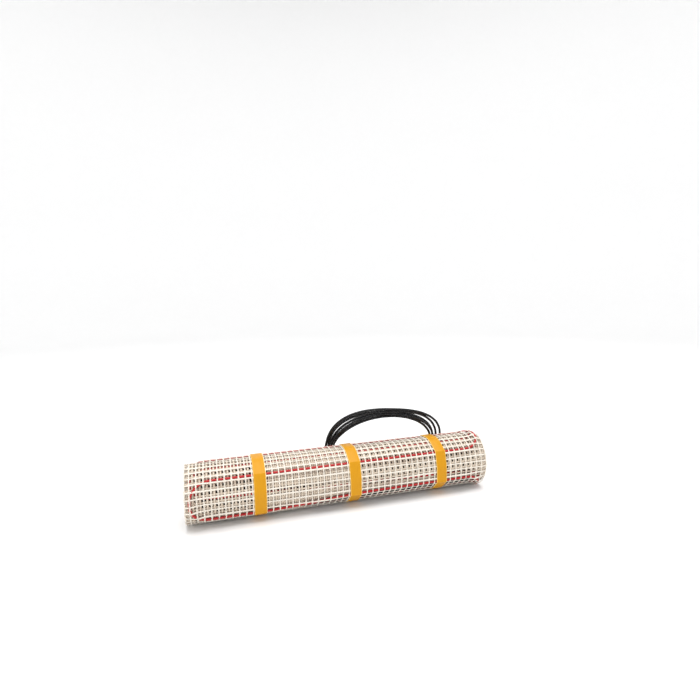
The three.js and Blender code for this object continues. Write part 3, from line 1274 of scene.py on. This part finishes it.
class HEATMAT_OT_studio(bpy.types.Operator):
    """Set up a pale round floor that curves up into a wall, and soft light"""

    bl_idname = "heatmat.studio"
    bl_label = "Studio"

    def execute(self, context):
        sizes = context.scene.heatmat_studio
        radius = sizes.floor_size / 2
        rim = []
        for step in range(SWEEP_STEPS + 1):
            climb = math.pi / 2 * step / SWEEP_STEPS
            rim.append((radius - 1 + math.sin(climb), 1 - math.cos(climb)))
        corners = [(along, 0, height) for along, height in [(0, 0), *rim, (radius, WALL_HEIGHT)]]
        shape = turned(corners, False, (0, 0, 0), (0, 0, 1), 64)
        bmesh.ops.remove_doubles(shape, verts=shape.verts, dist=1e-5)
        floor = placed("floor", finished_mesh(shape, "floor"))
        finish = Finish("pale_floor")
        grain = finish.noise(finish.object_place(), 30.0, 2.0)
        tone = finish.blend(grain, shade(sizes.colour, 0.99), shade(sizes.colour, 1.01))
        floor.data.materials.append(finish.feed(base_color=tone, roughness=0.6))
        key = self.soft_light("key", sizes.key_watts)
        fill = self.soft_light("fill", sizes.fill_watts)
        ceiling = self.soft_light("ceiling", sizes.ceiling_watts)
        world = bpy.data.worlds.new("room")
        world.use_nodes = True
        world.node_tree.nodes["Background"].inputs["Color"].default_value = (1, 1, 1, 1)
        world.node_tree.nodes["Background"].inputs["Strength"].default_value = sizes.sky
        context.scene.world = world
        context.scene.view_settings.view_transform = "Standard"
        return {"FINISHED"}

    def soft_light(self, name, watts):
        place, target, size = LIGHTS[name]
        light = bpy.data.lights.new(name, "AREA")
        light.size = size
        light.energy = watts
        lamp = placed(name, light)
        aim = (Vector(target) - Vector(place)).to_track_quat("-Z", "Y").to_matrix().to_4x4()
        lamp.matrix_world = Matrix.Translation(place) @ aim
        return lamp


STEPS = [
    HEATMAT_OT_camera,
    HEATMAT_OT_supply_lead,
    HEATMAT_OT_outer_web,
    HEATMAT_OT_inner_webs,
    HEATMAT_OT_wound_core,
    HEATMAT_OT_heating_cable,
    HEATMAT_OT_straps,
    HEATMAT_OT_splice,
    HEATMAT_OT_studio,
]

SETTINGS = {
    "heatmat_camera": CameraSizes,
    "heatmat_web": WebSizes,
    "heatmat_cable": CableSizes,
    "heatmat_strap": StrapSizes,
    "heatmat_lead": LeadSizes,
    "heatmat_studio": StudioSizes,
}


class HEATMAT_PT_panel(bpy.types.Panel):
    """Lists the steps that make the heating mat"""

    bl_idname = "HEATMAT_PT_panel"
    bl_label = "Heating Mat"
    bl_space_type = "VIEW_3D"
    bl_region_type = "UI"
    bl_category = "Heating Mat"

    def draw(self, context):
        for step in STEPS:
            self.layout.operator(step.bl_idname)
        for key, group in SETTINGS.items():
            box = self.layout.box()
            for name in group.__annotations__:
                box.prop(getattr(context.scene, key), name)


def register():
    for group in SETTINGS.values():
        bpy.utils.register_class(group)
    for step in STEPS:
        bpy.utils.register_class(step)
    bpy.utils.register_class(HEATMAT_PT_panel)
    for key, group in SETTINGS.items():
        setattr(bpy.types.Scene, key, PointerProperty(type=group))


def unregister():
    for key in SETTINGS:
        delattr(bpy.types.Scene, key)
    bpy.utils.unregister_class(HEATMAT_PT_panel)
    for step in reversed(STEPS):
        bpy.utils.unregister_class(step)
    for group in reversed(SETTINGS.values()):
        bpy.utils.unregister_class(group)


def main():
    register()
    bpy.ops.heatmat.camera()
    bpy.ops.heatmat.supply_lead()
    bpy.ops.heatmat.outer_web()
    bpy.ops.heatmat.inner_webs()
    bpy.ops.heatmat.wound_core()
    bpy.ops.heatmat.heating_cable()
    bpy.ops.heatmat.straps()
    bpy.ops.heatmat.splice()
    bpy.ops.heatmat.studio()


if __name__ == "__main__":
    main()
